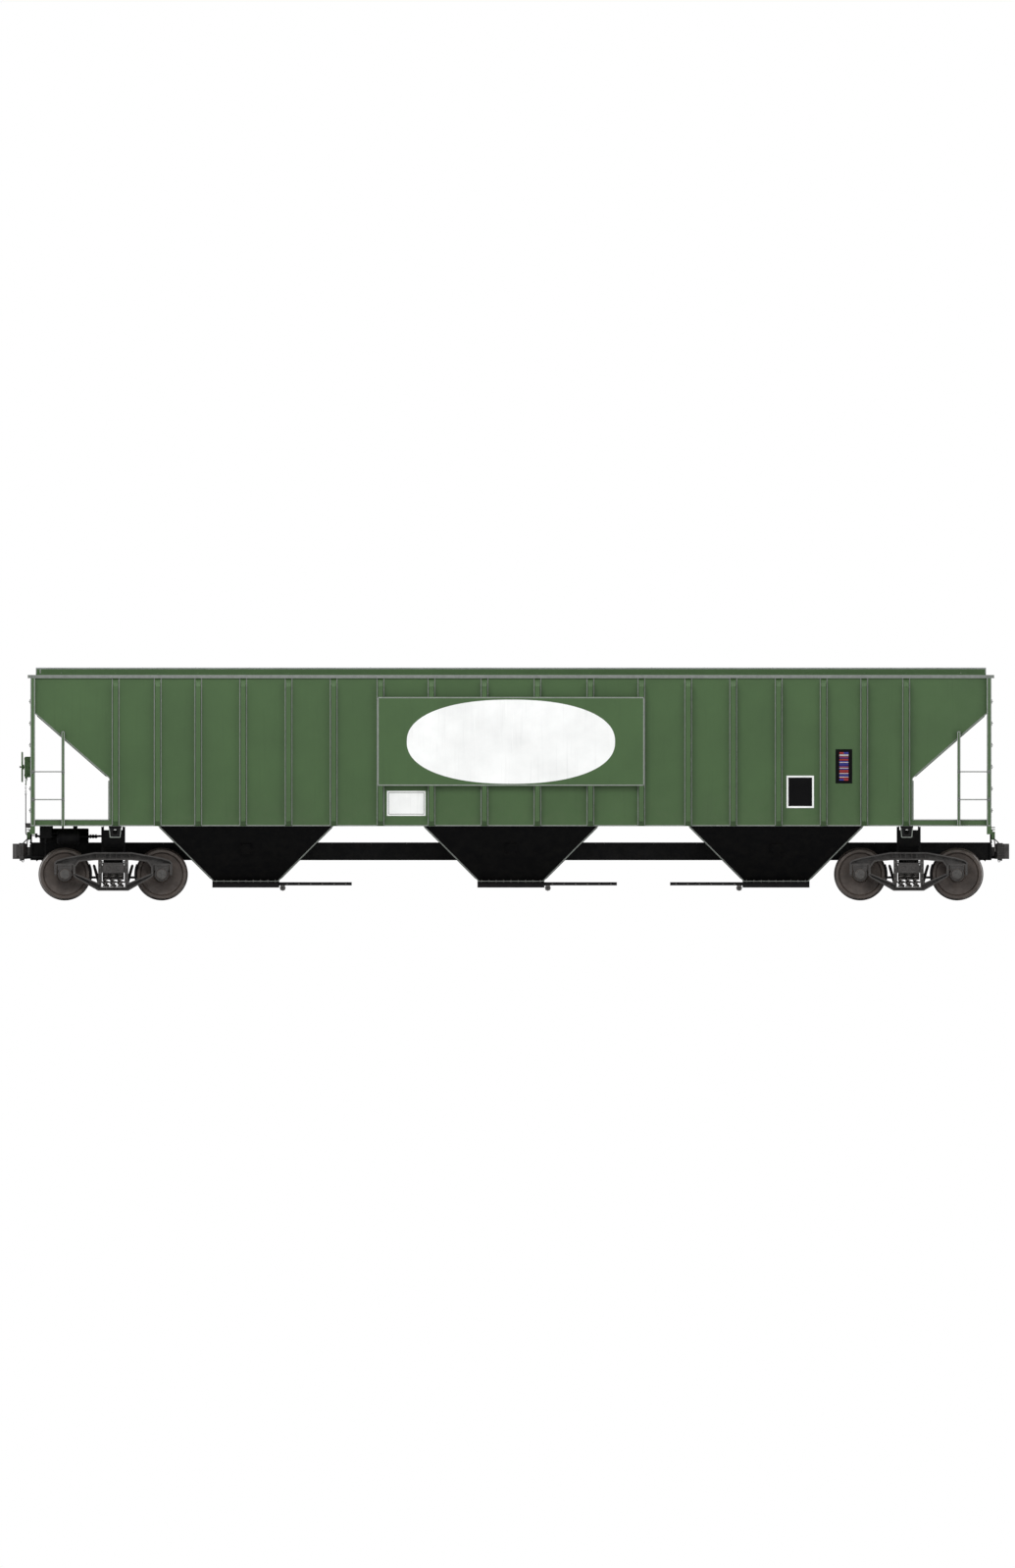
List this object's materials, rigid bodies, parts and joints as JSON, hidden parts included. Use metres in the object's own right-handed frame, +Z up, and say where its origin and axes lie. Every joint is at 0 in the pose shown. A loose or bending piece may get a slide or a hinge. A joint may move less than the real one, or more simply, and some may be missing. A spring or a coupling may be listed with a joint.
{
  "type": "covered hopper car",
  "caption": "Rail covered hopper car with outside side posts, roof hatch row, sliding outlet gates and two swivelling trucks.",
  "frame": {"origin": "middle of the car's outer box at the height of the wheel flange tips", "axes": "+X towards the A end along the track, +Y to the left side, +Z up"},
  "size_m": [18.29, 3.256, 4.2779],
  "materials": {
    "body_paint": "satin",
    "black_paint": "satin",
    "cast_steel": "matte",
    "wheel_steel": "satin",
    "gate_steel": "matte",
    "galvanised": "matte"
  },
  "bodies": {
    "car_body": {"body_bolsters": "black_paint", "brake_gear": "black_paint", "centre_sill": "black_paint", "end_platforms": "body_paint", "end_posts": "body_paint", "end_sills": "body_paint", "end_slope_sheets": "body_paint", "end_walls": "body_paint", "hand_brake": "body_paint", "hatch_coamings": "body_paint", "hopper_a": "black_paint", "hopper_b": "black_paint", "hopper_c": "black_paint", "ladders": "body_paint", "name_boards": "body_paint", "outlet_frames": "black_paint", "partitions": "body_paint", "ridges": "body_paint", "roof_sheet": "body_paint", "running_boards": "galvanised", "side_posts_left": "body_paint", "side_posts_right": "body_paint", "side_sheets": "body_paint", "side_sills": "body_paint", "top_chord": "body_paint", "tow_lugs": "black_paint"},
    "truck_a": {"side_frames_a": "cast_steel", "truck_bolster_a": "cast_steel", "springs_a": "black_paint", "bearings_a": "cast_steel", "brake_beams_a": "black_paint"},
    "coupler_a": {"coupler_a": "cast_steel"},
    "knuckle_a": {"knuckle_a": "cast_steel"},
    "wheelset_a1": {"axle_a1": "wheel_steel", "wheels_a1": "wheel_steel"},
    "wheelset_a2": {"axle_a2": "wheel_steel", "wheels_a2": "wheel_steel"},
    "truck_b": {"side_frames_b": "cast_steel", "truck_bolster_b": "cast_steel", "springs_b": "black_paint", "bearings_b": "cast_steel", "brake_beams_b": "black_paint"},
    "coupler_b": {"coupler_b": "cast_steel"},
    "knuckle_b": {"knuckle_b": "cast_steel"},
    "wheelset_b1": {"axle_b1": "wheel_steel", "wheels_b1": "wheel_steel"},
    "wheelset_b2": {"axle_b2": "wheel_steel", "wheels_b2": "wheel_steel"},
    "hatch_1": {"hatch_cover_1": "body_paint"},
    "hatch_2": {"hatch_cover_2": "body_paint"},
    "hatch_3": {"hatch_cover_3": "body_paint"},
    "hatch_4": {"hatch_cover_4": "body_paint"},
    "gate_a": {"gate_a": "gate_steel"},
    "gate_shaft_a": {"gate_shaft_a": "gate_steel"},
    "gate_b": {"gate_b": "gate_steel"},
    "gate_shaft_b": {"gate_shaft_b": "gate_steel"},
    "gate_c": {"gate_c": "gate_steel"},
    "gate_shaft_c": {"gate_shaft_c": "gate_steel"},
    "brake_wheel": {"brake_wheel": "body_paint"}
  },
  "joints": [
    {"name": "truck_swivel_a", "type": "hinge", "parent": "car_body", "child": "truck_a", "pos_m": [7.3, 0, 0.676], "axis": [0, 0, 1], "range_deg": [-6, 6]},
    {"name": "wheel_roll_a1", "type": "hinge", "parent": "truck_a", "child": "wheelset_a1", "pos_m": [8.189, 0, 0.4826], "axis": [0, 1, 0], "continuous": true},
    {"name": "wheel_roll_a2", "type": "hinge", "parent": "truck_a", "child": "wheelset_a2", "pos_m": [6.411, 0, 0.4826], "axis": [0, 1, 0], "continuous": true},
    {"name": "coupler_swing_a", "type": "hinge", "parent": "car_body", "child": "coupler_a", "pos_m": [8.5, 0, 0.902], "axis": [0, 0, 1], "range_deg": [-7, 7]},
    {"name": "knuckle_turn_a", "type": "hinge", "parent": "coupler_a", "child": "knuckle_a", "pos_m": [9, 0.115, 0.902], "axis": [0, 0, 1], "range_deg": [0, 45]},
    {"name": "truck_swivel_b", "type": "hinge", "parent": "car_body", "child": "truck_b", "pos_m": [-7.3, 0, 0.676], "axis": [0, 0, 1], "range_deg": [-6, 6]},
    {"name": "wheel_roll_b1", "type": "hinge", "parent": "truck_b", "child": "wheelset_b1", "pos_m": [-8.189, 0, 0.4826], "axis": [0, 1, 0], "continuous": true},
    {"name": "wheel_roll_b2", "type": "hinge", "parent": "truck_b", "child": "wheelset_b2", "pos_m": [-6.411, 0, 0.4826], "axis": [0, 1, 0], "continuous": true},
    {"name": "coupler_swing_b", "type": "hinge", "parent": "car_body", "child": "coupler_b", "pos_m": [-8.5, 0, 0.902], "axis": [0, 0, 1], "range_deg": [-7, 7]},
    {"name": "knuckle_turn_b", "type": "hinge", "parent": "coupler_b", "child": "knuckle_b", "pos_m": [-9, -0.115, 0.902], "axis": [0, 0, 1], "range_deg": [0, 45]},
    {"name": "hatch_lift_1", "type": "hinge", "parent": "car_body", "child": "hatch_1", "pos_m": [-6.27, 0.345, 4.263], "axis": [-1, 0, 0], "range_deg": [0, 150]},
    {"name": "hatch_lift_2", "type": "hinge", "parent": "car_body", "child": "hatch_2", "pos_m": [-2.09, 0.345, 4.263], "axis": [-1, 0, 0], "range_deg": [0, 150]},
    {"name": "hatch_lift_3", "type": "hinge", "parent": "car_body", "child": "hatch_3", "pos_m": [2.09, 0.345, 4.263], "axis": [-1, 0, 0], "range_deg": [0, 150]},
    {"name": "hatch_lift_4", "type": "hinge", "parent": "car_body", "child": "hatch_4", "pos_m": [6.27, 0.345, 4.263], "axis": [-1, 0, 0], "range_deg": [0, 150]},
    {"name": "brake_wheel_turn", "type": "hinge", "parent": "car_body", "child": "brake_wheel", "pos_m": [-8.97, 0.52, 2.45], "axis": [-1, 0, 0], "continuous": true},
    {"name": "gate_slide_a", "type": "slide", "parent": "car_body", "child": "gate_a", "axis": [-1, 0, 0], "range_m": [0, 1.19]},
    {"name": "gate_shaft_turn_a", "type": "hinge", "parent": "car_body", "child": "gate_shaft_a", "pos_m": [4.189, 0, 0.23], "axis": [0, -1, 0], "range_deg": [0, 1421.42]},
    {"name": "gate_slide_b", "type": "slide", "parent": "car_body", "child": "gate_b", "axis": [1, 0, 0], "range_m": [0, 1.19]},
    {"name": "gate_shaft_turn_b", "type": "hinge", "parent": "car_body", "child": "gate_shaft_b", "pos_m": [-4.189, 0, 0.23], "axis": [0, 1, 0], "range_deg": [0, 1421.42]},
    {"name": "gate_slide_c", "type": "slide", "parent": "car_body", "child": "gate_c", "axis": [1, 0, 0], "range_m": [0, 1.19]},
    {"name": "gate_shaft_turn_c", "type": "hinge", "parent": "car_body", "child": "gate_shaft_c", "pos_m": [0.677, 0, 0.23], "axis": [0, 1, 0], "range_deg": [0, 1421.42]}
  ],
  "couplings": [
    {"joint": "gate_shaft_turn_a", "follows": "gate_slide_a", "rad_per_m": 20.833},
    {"joint": "gate_shaft_turn_b", "follows": "gate_slide_b", "rad_per_m": 20.833},
    {"joint": "gate_shaft_turn_c", "follows": "gate_slide_c", "rad_per_m": 20.833}
  ]
}
